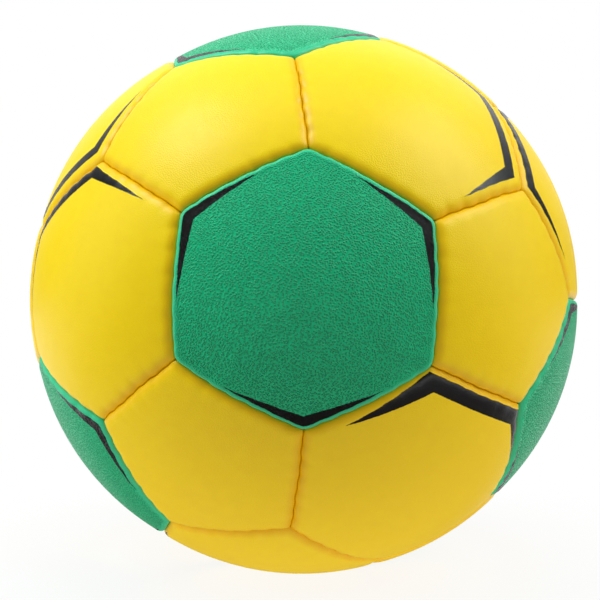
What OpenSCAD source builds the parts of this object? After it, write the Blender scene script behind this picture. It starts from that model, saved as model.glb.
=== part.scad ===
// Stitched handball: thirty-two cushioned panels round a rubber bladder.
// The origin is the ball's centre. -Y runs out through the front green
// hexagon, +Y through the valve, and +Z through the middle of a seam between
// two hexagons.

/* [Ball] */
// Distance round the ball
circumference = 590; // [500:5:600]

/* [Cover] */
// Thickness of the cover skin
skin_t = 1.5; // [1.2:0.1:1.8]
// Thickness of the skin where it is turned in along a seam
flange_t = 1.1; // [0.9:0.1:1.4]
// Depth of the turned-in skin below the ball's surface
flange_depth = 4.1; // [3.8:0.1:4.6]
// Radius of the rounded edge beside a seam
shoulder_r = 2.6; // [2:0.1:3]
// Gap between the two turned-in skins of a seam
seam_gap = 0.24; // [0.16:0.02:0.4]
// How far the centre of a panel's curve is moved out from the ball's centre
crown_shift = 6; // [3:0.5:8]

/* [Padding] */
// Thickness of the foam pad behind a panel
foam_t = 1.8; // [1.4:0.1:2]
// Depth of the lining's inner face below the ball's surface
lining_depth = 5; // [4.9:0.1:5.6]
// Gap between one layer and the next
layer_gap = 0.1; // [0.05:0.05:0.15]

/* [Seams] */
// Diameter of the sewing thread
thread_d = 0.7; // [0.5:0.1:0.8]

/* [Bladder] */
// Thickness of the bladder's wall
bladder_t = 1.2; // [0.8:0.1:1.6]
// Gap between the lining and the bladder
bladder_gap = 0.2; // [0.1:0.05:0.3]
// Radius of the balance patch
patch_r = 16; // [12:1:20]
// Thickness of the balance patch
patch_t = 1.6; // [1.2:0.2:2.4]

/* [Valve] */
// Radius of the valve's neck where it comes through the cover
neck_r = 4.5; // [4.2:0.1:5]
// Depth of the valve's mouth below the cover
neck_recess = 0.4; // [0.2:0.1:0.8]
// Gap between the neck and the layers round it
neck_gap = 0.2; // [0.1:0.05:0.3]
// Radius of the valve's disc, which is bonded inside the bladder
disc_r = 13; // [10:1:16]
// Thickness of the valve's disc
disc_t = 1.5; // [1:0.1:2]
// Length of the valve's barrel inside the bladder
barrel_len = 12; // [11.5:0.5:15]
// Radius of the valve's barrel
barrel_r = 5.5; // [5:0.1:6]
// Radius of the soft core
core_r = 2.9; // [2.6:0.1:3]
// Length of the soft core
core_len = 16; // [14:0.5:16.5]
// Radius of the core's head
head_r = 3.6; // [3.4:0.1:3.8]
// Thickness of the core's head
head_t = 1.4; // [1:0.1:2]
// Gap between the core and its housing
core_gap = 0.05; // [0.02:0.01:0.1]
// Radius of the needle's bore
needle_r = 1.1; // [1:0.05:1.2]
// Depth of the needle's bore, down to the core's closed lips
needle_depth = 12; // [10:0.5:12.5]
// Width of the cone that leads the needle into its bore
lead_in = 0.5; // [0.3:0.1:0.7]
// Radius of the air hole at the barrel's inner end
air_hole_r = 1.5; // [1:0.1:2]

/* [Hidden] */
$fn = 96;

// Colours, as red, green and blue shares
green_shares = [0.10, 0.65, 0.45];
yellow_shares = [0.95, 0.80, 0.10];
foam_shares = [0.93, 0.92, 0.88];
lining_shares = [0.80, 0.80, 0.78];
thread_shares = [0.35, 0.25, 0.12];
bladder_shares = [0.12, 0.12, 0.13];
core_shares = [0.30, 0.30, 0.31];

ball_r = circumference / (2 * PI);
crown_r = ball_r - crown_shift;
// A cut runs this far past the piece that it cuts
overrun = 20;
// The rounded edge starts this far above the panel's curve, and its flank this
// far inside the turned-in skin, so that each meets its neighbour at an angle
shoulder_lift = 0.05;
shoulder_bite = 0.15;
lining_r = ball_r - lining_depth;
bladder_r = lining_r - bladder_gap;
bladder_inner_r = bladder_r - bladder_t;
thread_ring_r = ball_r - flange_depth - layer_gap - thread_d / 2;

// The ball is a truncated icosahedron. Pentagons face the twelve corners of
// an icosahedron and hexagons its twenty faces. The eight green hexagons are
// the ones that face the corners of a cube.
golden = (1 + sqrt(5)) / 2;
function unit(v) = v / norm(v);
function turn(v) = [v[2], v[0], v[1]];
function three_turns(v) = [v, turn(v), turn(turn(v))];

front_dir = unit([1, 1, 1]);
up_dir = unit([1, 1 / golden, -golden]);
right_dir = cross(-front_dir, up_dir);
function in_ball(v) = unit([v * right_dir, -(v * front_dir), v * up_dir]);

green_dirs = [for (x = [1, -1], y = [1, -1], z = [1, -1]) in_ball([x, y, z])];
yellow_dirs = [for (s = [1, -1], t = [1, -1], v = three_turns([0, s * golden, t / golden])) in_ball(v)];
pentagon_dirs = [for (s = [1, -1], t = [1, -1], v = three_turns([0, s, t * golden])) in_ball(v)];
hexagon_dirs = concat(green_dirs, yellow_dirs);
// The last green hexagon faces +Y and has the valve in its middle
function holds_valve(k) = k == len(green_dirs);

// An edge's length over the ball's diameter, and the angles at the ball's
// centre between the middle of a panel with n sides and its edges and corners
edge_share = 1 / sqrt(9 * golden + 10);
function edge_angle(n) = asin(edge_share / tan(180 / n) / sqrt(1 - edge_share * edge_share));
function corner_angle(n) = atan(tan(edge_angle(n)) / cos(180 / n));
// Half of the angle that one edge covers, seen from the ball's centre, and
// half of the wider turn over which that edge is rounded
half_edge_angle = asin(edge_share);
half_cut_angle = 1.4 * half_edge_angle;

// Two panels are neighbours if their middles lie this close
function angle_between(a, b) = acos(min(1, max(-1, a * b)));
function touches(a, b) = angle_between(a, b) > 1 && angle_between(a, b) < 45;
function neighbours(a, dirs) = [for (d = dirs) if (touches(a, d)) d];

// Turns a piece made on +Z so that it faces dir, with its own +X side
// towards the second direction
module facing(dir, towards) {
    side = unit(towards - (towards * dir) * dir);
    other = cross(dir, side);
    multmatrix([
        [side[0], other[0], dir[0], 0],
        [side[1], other[1], dir[1], 0],
        [side[2], other[2], dir[2], 0]])
    children();
}

module facing_hexagon(dir) {
    facing(dir, neighbours(dir, pentagon_dirs)[0]) children();
}

module facing_pentagon(dir) {
    facing(dir, neighbours(dir, hexagon_dirs)[0]) children();
}

module facing_valve() {
    rotate([-90, 0, 0]) children();
}

// Radius from the ball's centre to a panel's curve above the middle of an edge
function edge_crown_r(n) =
    crown_shift * cos(edge_angle(n)) + sqrt(pow(crown_r, 2) - pow(crown_shift * sin(edge_angle(n)), 2));

// A panel's domed upper side, set down by a depth
module dome(depth) {
    translate([0, 0, crown_shift]) sphere(r = crown_r - depth);
}

// What lies between the edge planes of a panel, set in from them by an inset
module wedge(n, inset) {
    height = ball_r + overrun;
    translate([0, 0, inset / sin(edge_angle(n))])
    rotate([0, 0, 180 / n])
    cylinder(h = height, r1 = 0, r2 = height * tan(corner_angle(n)), $fn = n);
}

// The waste outside one edge, in a plane square to the seam: the ball's centre
// is the origin, +X runs out to the seam and +Y into the panel
module waste_profile(n) {
    seat = edge_crown_r(n) + shoulder_lift - shoulder_r;
    middle = seam_gap / 2 + shoulder_r - shoulder_bite;
    translate([ball_r - overrun, -overrun])
    square([2 * overrun, overrun + seam_gap / 2]);
    difference() {
        translate([seat, 0])
        square([ball_r + overrun - seat, middle]);
        translate([seat, middle])
        circle(r = shoulder_r, $fn = 64);
    }
}

module edge_waste(n, side) {
    rotate([0, 0, side * 360 / n])
    rotate([0, edge_angle(n), 0])
    rotate([0, -90, 0])
    rotate([0, 0, -half_cut_angle])
    rotate_extrude(angle = 2 * half_cut_angle)
    waste_profile(n);
}

// The domed block of a panel, whose edges are cut and rounded one by one
module rounded_block(n, rounded) {
    difference() {
        if (rounded == 1) {
            intersection() {
                dome(0);
                cylinder(r = ball_r * tan(corner_angle(n)), h = ball_r + overrun);
            }
        } else {
            rounded_block(n, rounded - 1);
        }
        edge_waste(n, rounded);
    }
}

// The hole through every layer for the valve's neck, on +Z
module neck_hole() {
    translate([0, 0, bladder_inner_r - overrun])
    cylinder(r = neck_r + neck_gap, h = ball_r - bladder_inner_r + 2 * overrun);
}

// The cover: a domed skin with rounded edges, turned in along every seam
module cover(n, has_valve = false) {
    difference() {
        rounded_block(n, n);
        intersection() {
            dome(skin_t);
            wedge(n, seam_gap / 2 + flange_t);
        }
        sphere(r = ball_r - flange_depth);
        if (has_valve) neck_hole();
    }
}

// The foam pad fills the hollow of the cover
module foam_pad(n, has_valve = false) {
    difference() {
        intersection() {
            dome(skin_t + layer_gap);
            wedge(n, seam_gap / 2 + flange_t + layer_gap);
        }
        dome(skin_t + layer_gap + foam_t);
        if (has_valve) neck_hole();
    }
}

// The lining backs the foam, and its inner face is the bladder's seat
module lining_pad(n, has_valve = false) {
    difference() {
        intersection() {
            dome(skin_t + foam_t + 2 * layer_gap);
            wedge(n, seam_gap / 2 + flange_t + layer_gap);
        }
        sphere(r = lining_r);
        if (has_valve) neck_hole();
    }
}

// The thread of one seam lies along the ends of the two turned-in skins and
// stops short of the threads that it meets at each corner
module seam_thread(dir, other) {
    stop_angle = half_edge_angle - asin(2 * thread_d / thread_ring_r);
    facing(dir, other)
    rotate([0, edge_angle(6), 0])
    rotate([0, -90, 0])
    rotate([0, 0, -stop_angle])
    rotate_extrude(angle = 2 * stop_angle)
    translate([thread_ring_r, 0])
    circle(d = thread_d, $fn = 24);
}

module green_hexagon(k) {
    color(green_shares)
    facing_hexagon(green_dirs[k - 1]) cover(6, holds_valve(k));
}

module yellow_hexagon(k) {
    color(yellow_shares)
    facing_hexagon(yellow_dirs[k - 1]) cover(6);
}

module yellow_pentagon(k) {
    color(yellow_shares)
    facing_pentagon(pentagon_dirs[k - 1]) cover(5);
}

module green_hexagon_foam() {
    color(foam_shares)
    for (k = [1 : len(green_dirs)])
        facing_hexagon(green_dirs[k - 1]) foam_pad(6, holds_valve(k));
}

module yellow_hexagon_foam() {
    color(foam_shares)
    for (dir = yellow_dirs)
        facing_hexagon(dir) foam_pad(6);
}

module pentagon_foam() {
    color(foam_shares)
    for (dir = pentagon_dirs)
        facing_pentagon(dir) foam_pad(5);
}

module green_hexagon_lining() {
    color(lining_shares)
    for (k = [1 : len(green_dirs)])
        facing_hexagon(green_dirs[k - 1]) lining_pad(6, holds_valve(k));
}

module yellow_hexagon_lining() {
    color(lining_shares)
    for (dir = yellow_dirs)
        facing_hexagon(dir) lining_pad(6);
}

module pentagon_lining() {
    color(lining_shares)
    for (dir = pentagon_dirs)
        facing_pentagon(dir) lining_pad(5);
}

module hexagon_seam_thread() {
    color(thread_shares)
    for (i = [0 : len(hexagon_dirs) - 2], j = [i + 1 : len(hexagon_dirs) - 1])
        if (touches(hexagon_dirs[i], hexagon_dirs[j]))
            seam_thread(hexagon_dirs[i], hexagon_dirs[j]);
}

module pentagon_seam_thread() {
    color(thread_shares)
    for (hexagon = hexagon_dirs, pentagon = neighbours(hexagon, pentagon_dirs))
        seam_thread(hexagon, pentagon);
}

module bladder() {
    color(bladder_shares)
    difference() {
        sphere(r = bladder_r);
        sphere(r = bladder_inner_r);
        facing_valve() neck_hole();
    }
}

module balance_patch() {
    color(bladder_shares)
    intersection() {
        difference() {
            sphere(r = bladder_inner_r - layer_gap);
            sphere(r = bladder_inner_r - layer_gap - patch_t);
        }
        rotate([90, 0, 0]) cylinder(r = patch_r, h = ball_r);
    }
}

// The housing: a neck through the cover, a disc bonded inside the bladder,
// and a barrel that holds the core
mouth_z = ball_r - neck_recess;
barrel_z = bladder_inner_r - disc_t - barrel_len;
core_z = mouth_z - core_len;

module valve_housing() {
    disc_top_r = bladder_inner_r - layer_gap;
    color(bladder_shares)
    facing_valve()
    difference() {
        union() {
            translate([0, 0, barrel_z]) cylinder(r = barrel_r, h = disc_top_r - disc_t / 2 - barrel_z);
            translate([0, 0, barrel_z]) cylinder(r = neck_r, h = mouth_z - barrel_z);
            intersection() {
                difference() {
                    sphere(r = disc_top_r);
                    sphere(r = disc_top_r - disc_t);
                }
                cylinder(r = disc_r, h = ball_r);
            }
        }
        translate([0, 0, mouth_z - head_t - core_gap]) cylinder(r = head_r + core_gap, h = overrun);
        translate([0, 0, core_z - core_gap]) cylinder(r = core_r + core_gap, h = overrun);
        translate([0, 0, barrel_z - overrun]) cylinder(r = air_hole_r, h = 2 * overrun);
    }
}

// The core: a headed plug of soft rubber with the needle's bore down its middle
module valve_core() {
    color(core_shares)
    facing_valve()
    difference() {
        union() {
            translate([0, 0, core_z]) cylinder(r = core_r, h = core_len);
            translate([0, 0, mouth_z - head_t]) cylinder(r = head_r, h = head_t);
        }
        translate([0, 0, mouth_z - needle_depth]) cylinder(r = needle_r, h = needle_depth + overrun);
        translate([0, 0, mouth_z - lead_in]) cylinder(r1 = needle_r, r2 = needle_r + 2 * lead_in, h = 2 * lead_in);
    }
}

for (k = [1 : len(green_dirs)])
    green_hexagon(k);
for (k = [1 : len(yellow_dirs)])
    yellow_hexagon(k);
for (k = [1 : len(pentagon_dirs)])
    yellow_pentagon(k);
green_hexagon_foam();
yellow_hexagon_foam();
pentagon_foam();
green_hexagon_lining();
yellow_hexagon_lining();
pentagon_lining();
hexagon_seam_thread();
pentagon_seam_thread();
bladder();
balance_patch();
valve_housing();
valve_core();
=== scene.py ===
import math

import bmesh
import bpy
import numpy as np
from mathutils import Matrix, Vector


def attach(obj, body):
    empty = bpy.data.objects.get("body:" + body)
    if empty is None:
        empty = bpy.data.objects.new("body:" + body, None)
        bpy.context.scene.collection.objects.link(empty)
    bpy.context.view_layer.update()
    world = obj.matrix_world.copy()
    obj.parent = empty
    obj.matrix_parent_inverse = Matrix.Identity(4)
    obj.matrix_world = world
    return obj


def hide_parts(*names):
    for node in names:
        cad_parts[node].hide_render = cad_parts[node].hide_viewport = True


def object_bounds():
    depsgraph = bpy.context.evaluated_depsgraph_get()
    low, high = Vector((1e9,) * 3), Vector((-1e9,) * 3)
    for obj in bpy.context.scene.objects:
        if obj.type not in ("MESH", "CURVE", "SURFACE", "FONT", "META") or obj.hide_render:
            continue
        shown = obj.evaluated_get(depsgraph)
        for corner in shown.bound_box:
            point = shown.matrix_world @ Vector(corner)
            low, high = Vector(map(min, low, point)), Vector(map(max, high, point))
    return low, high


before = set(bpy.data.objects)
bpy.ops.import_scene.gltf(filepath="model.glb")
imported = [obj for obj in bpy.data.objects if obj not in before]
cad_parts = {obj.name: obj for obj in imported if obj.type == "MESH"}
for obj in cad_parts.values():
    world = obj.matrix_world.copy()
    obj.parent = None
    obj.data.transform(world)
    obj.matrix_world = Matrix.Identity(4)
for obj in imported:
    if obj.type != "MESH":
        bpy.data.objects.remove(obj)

cad_box = [list(corner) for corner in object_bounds()]


# The net of the ball. Twelve pentagons face the corners of an icosahedron and
# twenty hexagons its faces. The eight green hexagons face the corners of a
# cube, so that no two of them touch, and the front one faces -Y.
golden = (1 + math.sqrt(5)) / 2
ball_girth = 0.590
ball_r = ball_girth / (2 * math.pi)
front_dir = Vector((1, 1, 1)).normalized()
up_dir = Vector((1, 1 / golden, -golden)).normalized()
right_dir = up_dir.cross(front_dir)


def three_turns(x, y, z):
    """A direction of the net, and what thirds of a turn about the front panel make of it."""
    return [(x, y, z), (z, x, y), (y, z, x)]


def in_ball(x, y, z):
    """A direction of the net as it lies in the ball."""
    v = Vector((x, y, z))
    return Vector((v.dot(right_dir), -v.dot(front_dir), v.dot(up_dir))).normalized()


signs = [(s, t) for s in (1, -1) for t in (1, -1)]
green_dirs = [in_ball(x, y, z) for x in (1, -1) for y in (1, -1) for z in (1, -1)]
yellow_dirs = [in_ball(*v) for s, t in signs for v in three_turns(0, s * golden, t / golden)]
pentagon_dirs = [in_ball(*v) for s, t in signs for v in three_turns(0, s, t * golden)]
net = []
for kind, sides, dirs in (
    ("green_hexagon", 6, green_dirs),
    ("yellow_hexagon", 6, yellow_dirs),
    ("yellow_pentagon", 5, pentagon_dirs),
):
    net += [("%s_%d" % (kind, k + 1), sides, d) for k, d in enumerate(dirs)]
net_dirs = {name: d for name, sides, d in net}
touching = math.radians(45)
same_way = 1e-3


def neighbours(d, dirs):
    return [other for other in dirs if same_way < d.angle(other) < touching]


def level_side(d, towards):
    """The direction along the panel facing d, square to d, that points towards another panel."""
    return (towards - towards.dot(d) * d).normalized()


# A ball sewn by hand is never quite regular: the corners where three panels
# meet lie a little off their places in the net. Those measured on the photograph
# lie as it shows them, and the others are off by a millimetre or so.
corner_reach = 0.42
next_pentagon = math.radians(70)
row_match = 0.02
hidden_spread_mm = 0.8
hidden_seed = 3
# Each row gives a corner's place to the right of the middle and above it, as
# shares of the radius, and how far off it is to the east and north, in mm
found_corners = [
    (0.0, 0.4, 0.3, -0.8),
    (0.35, 0.2, 0.9, -0.4),
    (0.35, -0.2, 0.6, -0.7),
    (0.0, -0.4, 0.0, 1.4),
    (-0.35, -0.2, -1.2, 0.3),
    (-0.35, 0.2, -0.3, 1.0),
    (-0.04, 0.73, 0.3, -0.7),
    (0.65, 0.33, 1.9, 0.2),
    (0.65, -0.33, 1.2, -0.7),
    (-0.04, -0.73, 0.9, 2.5),
    (-0.61, -0.4, 0.4, 0.8),
    (-0.61, 0.4, -2.8, -0.1),
    (-0.42, 0.73, -2.6, 1.4),
    (0.26, 0.85, 1.0, 2.8),
    (0.61, 0.65, 3.1, 0.9),
    (0.84, 0.0, 3.4, -0.1),
    (-0.42, -0.73, -0.7, -0.7),
    (0.61, -0.65, 7.0, -3.2),
    (0.26, -0.85, 4.0, -6.0),
    (-0.87, -0.2, -6.0, -0.7),
    (-0.87, 0.2, -6.0, 0.7),
]


def three_panel_corners():
    """The corners of the net, each a third of the way from one pentagon to the next one."""
    pairs = [(one, two) for one in pentagon_dirs for two in pentagon_dirs]
    next_ones = [(one, two) for one, two in pairs if same_way < one.angle(two) < next_pentagon]
    return [(2 * one + two).normalized() for one, two in next_ones]


def found_shift(corner):
    """How far a corner on the front lies off to the east and north, in millimetres."""
    for right, up, east_shift, north_shift in found_corners:
        if corner.y < 0 and math.hypot(corner.x - right, corner.z - up) < row_match:
            return east_shift, north_shift
    return None


def sewn_corners():
    """The corners and the valve, and how far each is off its place, as shares of the radius."""
    corners = three_panel_corners()
    draws = np.random.RandomState(hidden_seed)
    shifts = []
    for corner in corners:
        east = Vector((0, 0, 1)).cross(corner).normalized()
        north = corner.cross(east)
        to_east, to_north = found_shift(corner) or draws.normal(0, hidden_spread_mm, 2)
        shifts.append((east * to_east + north * to_north) / (1000 * ball_r))
    valve_dir = Vector((0, 1, 0))
    return np.array(corners + [valve_dir]), np.array(shifts + [Vector((0, 0, 0))])


def nearness(ways, corners):
    """How strongly the pull of each corner works at each direction."""
    apart = np.linalg.norm(ways[:, None] - corners[None], axis=2)
    return np.exp(-((apart / corner_reach) ** 2))


net_corners, net_shifts = sewn_corners()
net_pulls = np.linalg.solve(nearness(net_corners, net_corners), net_shifts)


# Each cover panel is synthetic leather, die-cut flat, with its edges turned in
# and its face drawn over foam. A blank is that cut piece, laid on the plane that
# touches the ball at the panel's middle, with z as the depth below its dome.
half_edge = math.asin(1 / math.sqrt(9 * golden + 10))
crown_shift = 0.006
crown_r = ball_r - crown_shift
seam_gap = 0.00024
seam_touch = 0.00002
skin_t = 0.0015
flange_t = 0.0011
flange_depth = 0.0041
closed_depth = 0.0024
points_per_edge = 48
round_from = 0.35


def edge_angle(sides):
    """The angle from a panel's middle to the middle of its edge, seen from the ball's centre."""
    return math.asin(math.tan(half_edge) / math.tan(math.pi / sides))


def ring_radius(sides, angle, inset, depth, corner_r, roundness):
    """Distance from the blank's middle to a ring that lies a given way inside its outline."""
    apothem = ball_r * math.tan(edge_angle(sides) - inset / ball_r)
    half = math.pi / sides
    from_edge = (angle + half) % (2 * half) - half
    to_corner = half - abs(from_edge)
    radius = apothem / math.cos(from_edge)
    bend = max(corner_r * (1 - depth / closed_depth) - inset, 0)
    middle = (apothem - bend) / math.cos(half)
    reach = bend**2 - (middle * math.sin(to_corner)) ** 2
    if bend > 0 and to_corner < math.atan2(bend * math.sin(half), middle + bend * math.cos(half)):
        radius = min(radius, middle * math.cos(to_corner) + math.sqrt(max(reach, 0)))
    return radius * (1 - roundness) + apothem * roundness


def edges_round(blank, ring):
    return [blank.edges.get((a, b)) for a, b in zip(ring, ring[1:] + ring[:1])]


def cut_blank(name, sides, profile, corner_r, hole_r=None):
    """A blank, made as rings from the middle of its face over its edge to the middle of its back."""
    blank = bmesh.new()
    inset_layer = blank.verts.layers.float.new("inset")
    count = sides * points_per_edge
    first_r = ball_r / 100
    start = bmesh.ops.create_circle(
        blank, cap_ends=hole_r is None, cap_tris=True, segments=count, radius=first_r
    )
    ring = [v for v in start["verts"] if v.co.length > first_r / 10]
    ring.sort(key=lambda v: math.atan2(v.co.y, v.co.x) % (2 * math.pi))
    middle = [v for v in blank.verts if v not in set(ring)]
    angles = [2 * math.pi * k / count for k in range(count)]
    full = edge_angle(sides) * ball_r

    def lay(verts, inset, depth):
        roundness = max(0, min(1, inset / full) - round_from) / (1 - round_from)
        for v, angle in zip(verts, angles):
            radius = ring_radius(sides, angle, inset, depth, corner_r, roundness)
            if hole_r is not None:
                radius = max(radius, hole_r)
            v.co = (radius * math.cos(angle), radius * math.sin(angle), depth)
            v[inset_layer] = inset

    lay(ring, *profile[0])
    for v in middle:
        v.co.z = profile[0][1]
        v[inset_layer] = full
    first_edges = edges_round(blank, ring)
    edges = first_edges
    for inset, depth in profile[1:]:
        made = bmesh.ops.extrude_edge_only(blank, edges=edges)["geom"]
        new = set(v for v in made if isinstance(v, bmesh.types.BMVert))
        follows = {}
        for v in new:
            for e in v.link_edges:
                if e.other_vert(v) not in new:
                    follows[e.other_vert(v)] = v
        ring = [follows[v] for v in ring]
        lay(ring, inset, depth)
        edges = edges_round(blank, ring)
    if hole_r is None:
        centre = blank.verts.new((0, 0, profile[-1][1]))
        centre[inset_layer] = full
        for a, b in zip(ring, ring[1:] + ring[:1]):
            blank.faces.new((a, b, centre))
    else:
        bmesh.ops.bridge_loops(blank, edges=edges + first_edges)
    flat = blank.loops.layers.uv.new("flat")
    for face in blank.faces:
        face.smooth = True
        for loop in face.loops:
            loop[flat].uv = loop.vert.co.xy
    bmesh.ops.recalc_face_normals(blank, faces=blank.faces)
    mesh = bpy.data.meshes.new(name)
    blank.to_mesh(mesh)
    blank.free()
    return mesh


# A panel in section: its face, the rounded shoulder beside the seam, the edge
# turned in as a flange, and its back. Each place is an inset from the seam and
# a depth below the dome. The rear green panel is punched for the valve.
face_shares = (0.94, 0.83, 0.71, 0.59, 0.5)
edge_zone = 0.016
edge_rings = (0.0145, 0.0125, 0.0108, 0.0094, 0.0082, 0.0072, 0.0063, 0.0055, 0.0048, 0.0042)
shoulder_steps = 9
shoulder_space = 0.0004
hole_lip = ((0, 0.0004), (0.0003, 0.0001))
lip_space = 0.0009
touch_until = 0.0004
gap_from = 0.0009
back_curve = ((0, 0.0032), (0.0004, 0.0024), (0.0014, 0.0018), (0.003, skin_t + 0.00005))
back_edge = 0.009
back_shares = (0.5, 0.8)


def shoulder(width, drop):
    """The rounded edge beside a seam, from the panel's face down to its flange."""
    turns = [math.pi / 2 * k / shoulder_steps for k in range(shoulder_steps + 1)]
    return [(seam_touch + width * (1 - math.sin(a)), drop * (1 - math.cos(a))) for a in turns]


def cover_profile(sides, width, drop, hole_r=None):
    """The section of a cover panel, from the middle of its face to the middle of its back."""
    full = edge_angle(sides) * ball_r
    face = [full * share for share in face_shares if full * share > edge_zone]
    outer = [(inset, 0) for inset in (*face, *edge_rings) if inset > width + shoulder_space]
    flange = [(seam_touch, drop + touch_until), (seam_gap / 2, drop + gap_from)]
    flange += [(seam_gap / 2, 2 * flange_depth)]
    wall = seam_gap / 2 + flange_t
    inner = [(wall, 2 * flange_depth)] + [(wall + inset, depth) for inset, depth in back_curve]
    inner += [(back_edge, skin_t)] + [(full * share, skin_t) for share in back_shares]
    if hole_r:
        rim = full - hole_r
        lip = [(rim - inset, depth) for inset, depth in hole_lip]
        outer = lip + [(inset, depth) for inset, depth in outer if inset < rim - lip_space]
        inner += [(rim, skin_t)]
    return outer + shoulder(width, drop) + flange + inner


def cut_cover(name, sides, shoulder_size, corner_r, hole_r=None):
    return cut_blank(name, sides, cover_profile(sides, *shoulder_size, hole_r), corner_r, hole_r)


valve_hole_r = 0.0047
green_shoulder = (0.0020, 0.0014)
yellow_shoulder = (0.0034, 0.0016)
green_corner_r = 0.0042
yellow_corner_r = 0.0022
blanks = {
    "green": cut_cover("green_blank", 6, green_shoulder, green_corner_r),
    "valve": cut_cover("valve_blank", 6, green_shoulder, green_corner_r, valve_hole_r),
    "yellow": cut_cover("yellow_blank", 6, yellow_shoulder, yellow_corner_r),
    "pentagon": cut_cover("pentagon_blank", 5, yellow_shoulder, yellow_corner_r),
}


# The seams are sewn by hand with two needles and a waxed thread, about six
# stitches to an edge. Each stitch pulls a small pucker into both panels, and
# no seam runs quite straight.
first_seam_seed = 7
stitches_per_edge = 6
stitch_pitch = 0.0058
stitch_slip = 0.08
pull_range = (0.6, 1.4)
pucker_depth = 0.00024
pucker_half_width = 0.0012
pucker_reach = 0.0027
pucker_falloff = 1.6
wrinkle_share = 0.2
wrinkle_slant = 0.5
wrinkle_half_width = 0.0009
wrinkle_reach = (0.003, 0.008)
bulge_height = 0.00008
bulge_reach = 0.003
seam_sway = 0.00012
green_sway = 0.4
yellow_sway = 0.9
sway_range = (0.7, 1.3)
sway_reach = 0.004
short_wave = 0.0009
long_wave = 0.0031
long_wave_share = 1.1
fade_at_corners = 0.2


class Seam:
    """One seam between two panels: the ways along and across it, and how hard each stitch pulls."""

    def __init__(self, first, second, seed):
        draws = np.random.RandomState(seed)
        self.along = np.array(net_dirs[first].cross(net_dirs[second]).normalized())
        self.across = np.array((net_dirs[second] - net_dirs[first]).normalized())
        self.stitches = []
        for k in range(stitches_per_edge):
            place = k - (stitches_per_edge - 1) / 2 + draws.uniform(-stitch_slip, stitch_slip)
            self.stitches.append((stitch_pitch * place, draws.uniform(*pull_range)))
        self.wrinkles = {name: draws.uniform(0, 1, stitches_per_edge) for name in (first, second)}
        self.phase = draws.uniform(0, 2 * math.pi, 2)
        share = green_sway if "green" in first else yellow_sway
        self.sway = seam_sway * share * draws.uniform(*sway_range)

    def pucker(self, name, along, inset, ends):
        """How deep the stitches pull one panel: short puckers, long wrinkles, and a bulge back."""
        depth = 0
        for (place, pull), wrinkle in zip(self.stitches, self.wrinkles[name]):
            off = along - place
            short = np.exp(-((off / pucker_half_width) ** 2))
            short = short * np.exp(-((inset / pucker_reach) ** pucker_falloff))
            slant = off - (wrinkle - 0.5) * wrinkle_slant * inset
            reach = wrinkle_reach[0] + (wrinkle_reach[1] - wrinkle_reach[0]) * wrinkle
            long = np.exp(-((slant / wrinkle_half_width) ** 2)) * np.exp(-((inset / reach) ** 2))
            depth = depth + ends * pucker_depth * (pull * short + wrinkle_share * wrinkle * long)
        return depth - np.exp(-((inset / bulge_reach) ** 2)) * ends * bulge_height

    def waver(self, along, inset, ends):
        """How far the seam's waviness moves a panel across it."""
        wave = np.sin(along / short_wave + self.phase[0])
        wave = wave + long_wave_share * np.sin(along / long_wave + self.phase[1])
        shift = self.sway * wave * ends * np.exp(-((inset / sway_reach) ** 2))
        return shift[:, None] * self.across


seams = {}
for one, one_dir in net_dirs.items():
    for two, two_dir in net_dirs.items():
        if one < two and one_dir.angle(two_dir) < touching:
            seams[one, two] = Seam(one, two, first_seam_seed + len(seams))


def seam_towards(name, d, way):
    """The seam of a panel on the side that lies towards way."""
    others = [n for n, v in net_dirs.items() if n != name and v.angle(d) < touching]
    other = max(others, key=lambda n: np.dot(way, net_dirs[n]))
    return seams[min(name, other), max(name, other)]


# Each panel is drawn over the ball's foam and seated on the linings behind it.
# A copy of its blank is laid on the dome, pulled in at its stitches, and moved
# with the corners of its seams. Its own +X side ends up towards across.
cover_seat_r = ball_r - flange_depth


def mould(blank, name, sides, d, across):
    """The mesh of one panel as it lies on the ball, facing d."""
    ez = np.array(d)
    ex = np.array(level_side(d, across))
    ey = np.cross(ez, ex)
    mesh = blank.copy()
    mesh.name = name
    count = len(mesh.vertices)
    flat = np.empty(count * 3)
    mesh.vertices.foreach_get("co", flat)
    flat = flat.reshape(-1, 3)
    inset = np.empty(count)
    mesh.attributes["inset"].data.foreach_get("value", inset)
    ways = flat[:, :1] * ex + flat[:, 1:2] * ey + ball_r * ez
    ways /= np.linalg.norm(ways, axis=1)[:, None]
    level = ways @ ez
    dome = crown_shift * level + np.sqrt(crown_r**2 - crown_shift**2 * (1 - level**2))
    drop = np.zeros(count)
    sway = np.zeros((count, 3))
    azimuth = np.arctan2(flat[:, 1], flat[:, 0])
    side = np.round(azimuth / (2 * math.pi / sides)).astype(int) % sides
    for k in range(sides):
        angle = 2 * math.pi * k / sides
        seam = seam_towards(name, d, ex * math.cos(angle) + ey * math.sin(angle))
        here = side == k
        along = ball_r * np.arcsin(ways[here] @ seam.along)
        far = np.abs((azimuth[here] - angle + math.pi) % (2 * math.pi) - math.pi) / (math.pi / sides)
        ends = np.clip((1 - far) / fade_at_corners, 0, 1)
        ends = ends * ends * (3 - 2 * ends)
        drop[here] = seam.pucker(name, along, inset[here], ends)
        sway[here] = seam.waver(along, inset[here], ends)
    radius = np.maximum(dome - flat[:, 2] - drop, cover_seat_r)
    pulled = ways + nearness(ways, net_corners) @ net_pulls
    pulled /= np.linalg.norm(pulled, axis=1)[:, None]
    placed = pulled * radius[:, None] + sway
    mesh.vertices.foreach_set("co", placed.ravel())
    mesh.update()
    return mesh


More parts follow.
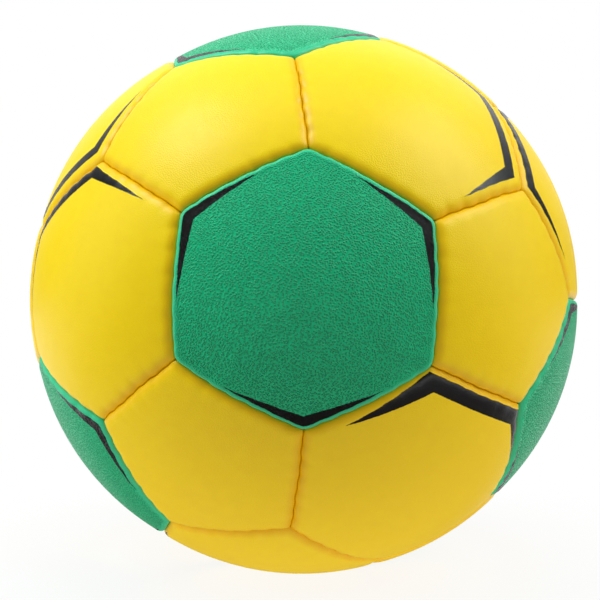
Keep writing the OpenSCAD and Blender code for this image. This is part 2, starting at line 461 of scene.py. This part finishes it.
# The leather is polyurethane on a woven back, embossed with a grain. The green
# is coarse and pebbled, and the yellow is fine and smoother. Beside the seams
# it is drawn tight, so that the grain is flatter there. A rim beside the seams
# is tinted with painted light: on the yellow a darker orange painted shade, and
# on the green a lighter mint that is partly the stretched leather and partly a
# painted highlight.
blotches_per_m = 28
mottle_per_m = 260
fine_per_grain = 0.9
stretched_edge = (0.0004, 0.003)
pit_wall = (0.08, 0.5)
pebble_height = 0.75
fine_height = 0.35
blotch_strength = 0.25
mottle_strength = 0.3
usual_shade = 0.15
mottle_roughness = 0.1
rim_stretch_and_painted_light_start = 0.2
ink_raggedness = 0.00035
ink_softness = 0.00006
ink_roughness = 0.27
ink_black = (8, 7, 8)
ink_grey = (18, 16, 18)


class Wire:
    """A value in a material. Maths on it adds the Math nodes, and node() adds any other node."""

    def __init__(self, tree, socket=None):
        self.tree = tree
        self.socket = socket

    def node(self, kind, sockets, output=0, **settings):
        made = self.tree.nodes.new("ShaderNode" + kind)
        for name, value in settings.items():
            setattr(made, name, value)
        for name, value in sockets.items():
            if isinstance(value, Wire):
                self.tree.links.new(value.socket, made.inputs[name])
            else:
                made.inputs[name].default_value = value
        return Wire(self.tree, made.outputs[output] if len(made.outputs) else None)

    def maths(self, operation, *values):
        return self.node("Math", dict(enumerate(values)), operation=operation)

    def __add__(self, other):
        return self.maths("ADD", self, other)

    def __radd__(self, other):
        return self.maths("ADD", other, self)

    def __sub__(self, other):
        return self.maths("SUBTRACT", self, other)

    def __rsub__(self, other):
        return self.maths("SUBTRACT", other, self)

    def __mul__(self, other):
        return self.maths("MULTIPLY", self, other)

    def __rmul__(self, other):
        return self.maths("MULTIPLY", other, self)

    def __truediv__(self, other):
        return self.maths("DIVIDE", self, other)

    def least(self, other):
        return self.maths("MINIMUM", self, other)

    def most(self, other):
        return self.maths("MAXIMUM", self, other)

    def size(self):
        return self.maths("ABSOLUTE", self)

    def steps(self, low, high):
        """0 below low and 1 above high, with a smooth change between them."""
        sockets = {"Value": self, "From Min": low, "From Max": high}
        return self.node("MapRange", sockets, interpolation_type="SMOOTHSTEP")

    def noise(self, place, scale, detail):
        return self.node("TexNoise", {"Vector": place, "Scale": scale, "Detail": detail})

    def mix(self, share, first, second):
        sockets = {0: share, 6: first, 7: second}
        return self.node("Mix", sockets, output=2, data_type="RGBA")


def new_material(name):
    material = bpy.data.materials.new(name)
    material.use_nodes = True
    material.node_tree.nodes.clear()
    return material, Wire(material.node_tree)


def finish_material(wire, shader):
    wire.node("OutputMaterial", {"Surface": shader})


def pixel(red, green, blue):
    """A colour given as it shows on a screen, 0 to 255, as the shader wants it."""
    shares = [c / 255 for c in (red, green, blue)]
    return [c / 12.92 if c <= 0.04045 else ((c + 0.055) / 1.055) ** 2.4 for c in shares] + [1]


def leather(
    name, ink_at, colour, pit_colour, pit_share, grain_pitch, grain_depth,
    roughness, gloss, ink_gloss, rim_stretch_and_painted_light_colour, rim_stretch_and_painted_light_width, rim_stretch_and_painted_light_share,
):
    """A leather: its grain, a rim by the seams with painted light and shade, and the print that
    ink_at gives.
    """
    material, wire = new_material(name)
    place = wire.node("TexCoord", {}, output=3)
    flat = wire.node("UVMap", {}, uv_map="flat")
    x = flat.node("SeparateXYZ", {"Vector": flat})
    y = Wire(wire.tree, x.socket.node.outputs[1])
    cell_sockets = {"Vector": flat, "Scale": 1 / grain_pitch, "Randomness": 0.9}
    pit = wire.node("TexVoronoi", cell_sockets, feature="F1", voronoi_dimensions="2D")
    pebble = pit.steps(*pit_wall)
    fine = wire.noise(place, fine_per_grain / grain_pitch, 2.0)
    broad = wire.noise(place, blotches_per_m, 3.0)
    mottle = wire.noise(place, mottle_per_m, 2.0)
    seam_way = wire.node("Attribute", {}, output=2, attribute_name="inset")
    unstretched = seam_way.steps(*stretched_edge)
    height = (pebble * pebble_height + fine * fine_height) * unstretched
    pits = (1 - pebble) * unstretched * pit_share
    base = wire.mix(pits, colour, pit_colour)
    cloud = (broad - 0.5) * blotch_strength + (mottle - 0.5) * mottle_strength + usual_shade
    shade = wire.mix(cloud, base, pit_colour)
    # A rim by the seams, tinted with painted light: a darker orange painted shade on the yellow, and
    # on the green a lighter mint, partly stretched leather and partly a painted highlight.
    rim = 1 - seam_way.steps(rim_stretch_and_painted_light_width * rim_stretch_and_painted_light_start, rim_stretch_and_painted_light_width)
    shade = wire.mix(rim * rim_stretch_and_painted_light_share, shade, rim_stretch_and_painted_light_colour)
    rough = roughness + pits + (mottle - 0.5) * mottle_roughness
    bump = wire.node("Bump", {"Strength": 0.9, "Distance": grain_depth, "Height": height})
    look = {"Base Color": shade, "Roughness": rough, "Normal": bump, "Specular IOR Level": gloss}
    shader = wire.node("BsdfPrincipled", look)
    if ink_at is not None:
        ragged = (fine - 0.5) * ink_raggedness
        ink = (ink_at(x, y) + ragged).steps(-ink_softness, ink_softness)
        ink_shade = wire.mix(pebble, pixel(*ink_black), pixel(*ink_grey))
        look = {"Base Color": ink_shade, "Roughness": ink_roughness, "Normal": bump}
        look["Specular IOR Level"] = ink_gloss
        shader = wire.node("MixShader", {0: ink, 1: shader, 2: wire.node("BsdfPrincipled", look)})
    finish_material(wire, shader)
    return material


green_look = {
    "colour": pixel(4, 199, 136),
    "pit_colour": pixel(3, 98, 60),
    "pit_share": 0.36,
    "grain_pitch": 0.00068,
    "grain_depth": 0.0005,
    "roughness": 0.38,
    "gloss": 0.42,
    "ink_gloss": 0.5,
    # Lighter mint by the seams: partly the stretched leather, partly a painted highlight on the
    # shoulder.
    "rim_stretch_and_painted_light_colour": pixel(90, 222, 176),
    "rim_stretch_and_painted_light_width": 0.0024,
    "rim_stretch_and_painted_light_share": 0.36,
}
yellow_look = {
    "colour": pixel(253, 219, 2),
    "pit_colour": pixel(236, 188, 1),
    "pit_share": 0.15,
    "grain_pitch": 0.0005,
    "grain_depth": 0.00004,
    "roughness": 0.36,
    "gloss": 0.34,
    "ink_gloss": 1.0,
    # Darker orange by the seams: a painted shade along the seams.
    "rim_stretch_and_painted_light_colour": pixel(238, 168, 0),
    "rim_stretch_and_painted_light_width": 0.0030,
    "rim_stretch_and_painted_light_share": 0.42,
}


# The prints are black ink, laid on the flat leather before it is sewn: a
# chevron in every other corner of a green hexagon, and on a yellow hexagon a
# bracket along one edge with a long tail at each end.
flat_apothem = ball_r * math.tan(edge_angle(6))
flat_corner = flat_apothem / math.cos(math.pi / 6)
cos30 = math.cos(math.pi / 6)
sin30 = 0.5
chevron_arm = 0.0255
chevron_tip_inset = 0.0021
chevron_outer = 0.0018
chevron_inner = 0.0061
chevron_rounding = 0.0008
near_bar = (0.0034, 0.0077)
near_half_lengths = (0.0188, 0.0166)
near_tip = (0.0092, 0.0323)
far_bar = (0.0018, 0.0069)
far_upper_arm = ((0.0345, 0.0207), (0.0290, 0.0166), (0.0080, 0.0331))
far_lower_arm = ((0.0340, -0.0207), (0.0292, -0.0182), (0.0144, -0.0320))


def beyond(u, v, start, end):
    """How far a point lies to the left of a line from start to end, in metres."""
    run = (end[0] - start[0], end[1] - start[1])
    length = math.hypot(*run)
    normal = (-run[1] / length, run[0] / length)
    return normal[0] * u + normal[1] * v - (normal[0] * start[0] + normal[1] * start[1])


def chevron(x, y):
    """The three chevrons of a green hexagon, in the corners at 30, 150 and 270 degrees."""
    turn = 2 * math.pi / 3
    azimuth = x.maths("ARCTAN2", y, x)
    sector = x.maths("ROUND", (azimuth - math.pi / 6) / turn)
    local = azimuth - math.pi / 6 - sector * turn
    length = x.maths("SQRT", x * x + y * y)
    u = length * x.maths("COSINE", local)
    v = (length * x.maths("SINE", local)).size()
    tip = (
        flat_corner - sin30 * chevron_arm - cos30 * chevron_tip_inset,
        cos30 * chevron_arm - sin30 * chevron_tip_inset,
    )
    blunt = x.maths("SQRT", v * v + chevron_rounding**2)
    outer = beyond(u, blunt, (flat_corner - chevron_outer, 0), tip)
    inner = -1 * beyond(u, v, (flat_corner - chevron_inner, 0), tip)
    return outer.least(inner)


def bracket(x, y, bar_outer, bar_inner, arms):
    """A bracket whose bar lies along the edge on the +X side, with an arm from each end to a tip."""
    inside = (flat_apothem - bar_outer) - x
    black = x - (flat_apothem - bar_inner)
    for outer_corner, inner_corner, tip in arms:
        turn = 1 if tip[1] > 0 else -1
        inside = inside.least(turn * beyond(x, y, outer_corner, tip))
        black = black.most(-turn * beyond(x, y, inner_corner, tip))
    return inside.least(black)


def near_bracket(slip):
    """The bracket beside the other panel of its pair. The print lies off by the slip."""
    outer, inner = [(flat_apothem - bar - slip, end) for bar, end in zip(near_bar, near_half_lengths)]
    arms = [(outer, inner, near_tip), tuple((u, -v) for u, v in (outer, inner, near_tip))]
    return lambda x, y: bracket(x, y, near_bar[0] + slip, near_bar[1] + slip, arms)


def far_bracket(x, y):
    """The bracket at the far end of a pair, thin on the side of the green panel."""
    return bracket(x, y, *far_bar, [far_upper_arm, far_lower_arm])


green_leather = leather("green_leather", chevron, **green_look)
plain_yellow = leather("yellow_leather", None, **yellow_look)
far_yellow = leather("far_printed_leather", far_bracket, **yellow_look)


# The yellow hexagons are sewn in pairs, printed along the edge they share. The
# pair below the front panel and the one opposite it are printed at their far
# ends, and the green panel at the lower left sits a sixth of a turn round.
def nearest(d, dirs):
    return max(dirs, key=lambda other: other.dot(d))


def partner(d):
    """The other yellow hexagon of a pair, which shares an edge with it."""
    return neighbours(d, yellow_dirs)[0]


def green_start(d, turned):
    """The +X side of a green panel, from which its printed corners lie at 30, 150 and 270 degrees."""
    pentagon = neighbours(d, pentagon_dirs)[0]
    for hexagon in neighbours(d, yellow_dirs):
        if hexagon.angle(pentagon) < touching:
            leads_to_yellow = partner(hexagon).angle(pentagon) < touching
            if leads_to_yellow != turned:
                corner = level_side(d, pentagon) + level_side(d, hexagon)
                return Matrix.Rotation(-math.pi / 6, 3, d) @ corner.normalized()


lower_right = Vector((0.333, -0.745, -0.577))
turned_green = nearest(Vector((-0.745, -0.333, -0.577)), green_dirs)
far_printed = [nearest(v, yellow_dirs) for v in (lower_right, -lower_right)]
far_printed += [partner(d) for d in far_printed]
print_slips = [
    (nearest(Vector(v), yellow_dirs), slip)
    for v, slip in (
        ((0.333, -0.745, 0.577), 0.0018),
        ((0.873, -0.333, 0.357), -0.0012),
        ((-0.667, -0.745, 0), -0.0016),
        ((-0.745, -0.333, 0.577), 0.0012),
    )
]


def print_slip(d):
    """How far a panel's print lies off. The photograph shows it for the two pairs in sight."""
    return next((slip for v, slip in print_slips if v is d), 0.0)


near_yellow = {}
for d in yellow_dirs:
    slip = print_slip(d)
    if slip not in near_yellow:
        name = "near_printed_leather_%d" % (len(near_yellow) + 1)
        near_yellow[slip] = leather(name, near_bracket(slip), **yellow_look)
for name, sides, d in net:
    if name.startswith("green"):
        blank, material, slot = blanks["green"], green_leather, "green_cover"
        towards = green_start(d, d is turned_green)
        if d is green_dirs[-1]:
            blank = blanks["valve"]
    elif sides == 6:
        blank, material, slot = blanks["yellow"], near_yellow[print_slip(d)], "yellow_cover"
        towards = partner(d)
        if d in far_printed:
            material, towards = far_yellow, -1 * level_side(d, partner(d))
    else:
        blank, material, slot = blanks["pentagon"], plain_yellow, "yellow_cover"
        towards = neighbours(d, green_dirs + yellow_dirs)[0]
    panel = bpy.data.objects.new("cover_" + name, mould(blank, name, sides, d, towards))
    bpy.context.scene.collection.objects.link(panel)
    panel.data.materials.append(material)
    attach(panel, "root")
    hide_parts(name)


# A foam pad fills the hollow of each panel and gives the ball its soft grip,
# and a woven lining behind it keeps the ball from stretching. Both are glued
# to the panel before it is sewn.
def plain_finish(name, colour, second, clouds_per_m, roughness, depth):
    """A clouded, slightly uneven finish for the pieces inside the cover."""
    material, wire = new_material(name)
    place = wire.node("TexCoord", {}, output=3)
    cloud = wire.noise(place, clouds_per_m, 4.0)
    shade = wire.mix(cloud.steps(0.35, 0.65), colour, second)
    bump = wire.node("Bump", {"Strength": 0.6, "Distance": depth, "Height": cloud})
    look = {"Base Color": shade, "Roughness": roughness + cloud * 0.15, "Normal": bump}
    finish_material(wire, wire.node("BsdfPrincipled", look))
    return material


def dress(finish, *nodes):
    """Gives CAD nodes their finish and leaves their shapes alone."""
    for node in nodes:
        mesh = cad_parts[node].data
        mesh.materials.clear()
        mesh.materials.append(finish)


foam_white = pixel(238, 235, 224)
foam_shade = pixel(214, 210, 196)
foam_finish = plain_finish(
    "closed_cell_foam", foam_white, foam_shade, clouds_per_m=2600, roughness=0.75, depth=0.0001
)
dress(foam_finish, "green_hexagon_foam", "yellow_hexagon_foam", "pentagon_foam")
lining_white = pixel(206, 205, 198)
lining_shade = pixel(176, 174, 166)
lining_finish = plain_finish(
    "woven_lining", lining_white, lining_shade, clouds_per_m=1400, roughness=0.8, depth=0.0001
)
dress(lining_finish, "green_hexagon_lining", "yellow_hexagon_lining", "pentagon_lining")


# The thread is twisted polyester, waxed so that it runs through the leather
# and seals its holes. It lies deep in every seam.
thread_brown = pixel(120, 84, 30)
thread_shade = pixel(74, 48, 16)
thread_finish = plain_finish(
    "waxed_thread", thread_brown, thread_shade, clouds_per_m=1800, roughness=0.45, depth=0.0001
)
dress(thread_finish, "hexagon_seam_thread", "pentagon_seam_thread")


# The bladder is butyl rubber. The valve's housing is bonded to it behind the
# rear green panel, with a patch opposite as heavy as the valve, and its soft
# core is pushed in last.
bladder_black = pixel(38, 38, 40)
bladder_shade = pixel(28, 28, 30)
bladder_finish = plain_finish(
    "butyl_rubber", bladder_black, bladder_shade, clouds_per_m=300, roughness=0.5, depth=0.00005
)
dress(bladder_finish, "bladder", "balance_patch", "valve_housing")
core_grey = pixel(58, 58, 60)
core_shade = pixel(46, 46, 48)
core_finish = plain_finish(
    "valve_rubber", core_grey, core_shade, clouds_per_m=900, roughness=0.42, depth=0.00003
)
dress(core_finish, "valve_core")


# The table: a wide pale disc that glows softly under the ball, and less in front
# of it and behind it. The camera sees it as white paper with the ball's shadow,
# and polished surfaces see it white behind the ball and far from it.
floor_r = 6
glow_below = 1.24
glow_in_front = 0.98
glow_behind = 0.92
glow_colour = (1, 0.94, 0.86, 1)
table_dimmed_in_gloss = 0.92
floor_z = cad_box[0][2]
floor_mesh = bpy.data.meshes.new("floor")
made = bmesh.new()
bmesh.ops.create_circle(made, cap_ends=True, segments=96, radius=floor_r)
bmesh.ops.translate(made, verts=made.verts, vec=(0, 0, floor_z))
made.to_mesh(floor_mesh)
made.free()
floor = bpy.data.objects.new("floor", floor_mesh)
bpy.context.scene.collection.objects.link(floor)
material, wire = new_material("studio_floor")
rays = wire.node("LightPath", {})
glossy = Wire(wire.tree, rays.socket.node.outputs["Is Glossy Ray"])
through = Wire(wire.tree, rays.socket.node.outputs["Is Transmission Ray"])
place = wire.node("TexCoord", {}, output=3)
away = wire.node("VectorMath", {0: place}, output=1, operation="LENGTH")
depth = wire.node("SeparateXYZ", {"Vector": place}, output=1)
front = 1 - depth.steps(-0.09, -0.03)
back = depth.steps(0.06, 0.12)
near = 1 - away.steps(0.2, 0.4)
glow = glow_below - front * (glow_below - glow_in_front) - back * (glow_below - glow_behind)
table_light = glow * near * (1 - glossy * table_dimmed_in_gloss)
lit_table = wire.node("Emission", {"Color": glow_colour, "Strength": table_light})
paper = wire.node("BsdfDiffuse", {"Color": pixel(232, 232, 232)})
white = wire.node("Emission", {"Color": (1, 1, 1, 1), "Strength": 1.0})
white_share = 0.86 + away.steps(0.1, 0.25) * 0.14
picture = wire.node("MixShader", {0: white_share, 1: paper, 2: white})
white_to_polish = away.steps(0.3, 0.6).most(depth.steps(-0.01, 0.06))
seen = rays.most(through).most(glossy * white_to_polish)
finish_material(wire, wire.node("MixShader", {0: seen, 1: lit_table, 2: picture}))
floor.data.materials.append(material)


# The surroundings: a dim room, darkest at the sides of the ball, that the camera
# sees as a white backdrop. Polished surfaces see the backdrop behind and above.
room_in_front = 0.30
room_beside = 0.10
room_behind = 0.40
room_dimmed_in_gloss = 0.9
world = bpy.data.worlds.new("studio")
bpy.context.scene.world = world
world.use_nodes = True
world.node_tree.nodes.clear()
wire = Wire(world.node_tree)
rays = wire.node("LightPath", {})
glossy = Wire(wire.tree, rays.socket.node.outputs["Is Glossy Ray"])
through = Wire(wire.tree, rays.socket.node.outputs["Is Transmission Ray"])
sky_way = wire.node("TexCoord", {})
way = wire.node("SeparateXYZ", {"Vector": sky_way}, output=1)
beside = way.steps(-0.8, -0.3)
back = way.steps(0.0, 0.5)
backdrop_sockets = {0: sky_way, 1: (0, 0.86, 0.51)}
backdrop_way = wire.node("VectorMath", backdrop_sockets, output=1, operation="DOT_PRODUCT")
room = room_in_front - beside * (room_in_front - room_beside) + back * (room_behind - room_beside)
surroundings = room * (1 - glossy * room_dimmed_in_gloss)
white_to_polish = glossy * backdrop_way.steps(0.6, 0.95)
strength = rays.most(through).most(white_to_polish).most(surroundings)
sky = wire.node("Background", {"Color": (1, 1, 1, 1), "Strength": strength})
wire.node("OutputWorld", {"Surface": sky})


# The lamps are soft boxes on stands above the ball and low at its sides. They
# are a little cool, except for the one low at the right, which is a little warm.
lamp_distance = 0.9
cool = (0.92, 1.0, 1.0)
warm = (1.0, 0.92, 0.84)


def soft_box(name, toward, watts, side=0.5, mirrored=True, colour=cool):
    """A square lamp facing the ball. The ones that aren't mirrored leave no highlight."""
    light = bpy.data.lights.new(name, "AREA")
    light.shape = "SQUARE"
    light.size = side
    light.energy = watts
    light.color = colour
    lamp = bpy.data.objects.new(name, light)
    bpy.context.scene.collection.objects.link(lamp)
    way = Vector(toward).normalized()
    lamp.location = way * lamp_distance
    lamp.rotation_euler = way.to_track_quat("Z", "Y").to_euler()
    lamp.visible_glossy = mirrored


soft_box("left_box", (-0.56, -0.24, 0.80), 3.4, side=0.36)
soft_box("right_box", (0.66, -0.24, 0.74), 3.4)
soft_box("top_box", (0.0, -0.22, 0.97), 4.3, mirrored=False)
soft_box("low_left_box", (-0.90, -0.10, 0.25), 4.8, mirrored=False)
soft_box("low_right_box", (0.90, -0.10, 0.25), 3.0, mirrored=False, colour=warm)


# The camera stands a little to the left of the front panel's axis and a
# little below it, close to the ball, as in the photograph.
camera_azimuth = math.radians(-0.262)
camera_elevation = math.radians(-1.744)
camera_roll = math.radians(0.685)
camera_distance = 3.1223 * ball_r
camera_way = Vector((
    math.sin(camera_azimuth) * math.cos(camera_elevation),
    -math.cos(camera_azimuth) * math.cos(camera_elevation),
    math.sin(camera_elevation),
))
level = Vector((math.cos(camera_azimuth), math.sin(camera_azimuth), 0))
upright = camera_way.cross(level)
across = level * math.cos(camera_roll) + upright * math.sin(camera_roll)
upwards = upright * math.cos(camera_roll) - level * math.sin(camera_roll)
lens = bpy.data.cameras.new("camera")
lens.sensor_width = 36
lens.lens = 48.72
lens.shift_x = -0.0067
lens.shift_y = -0.0009
lens.clip_start = 0.01
camera = bpy.data.objects.new("camera", lens)
bpy.context.scene.collection.objects.link(camera)
turned_to = Matrix((across, upwards, camera_way)).transposed().to_4x4()
camera.matrix_world = Matrix.Translation(camera_way * camera_distance) @ turned_to
bpy.context.scene.camera = camera
bpy.context.scene.view_settings.view_transform = "Standard"
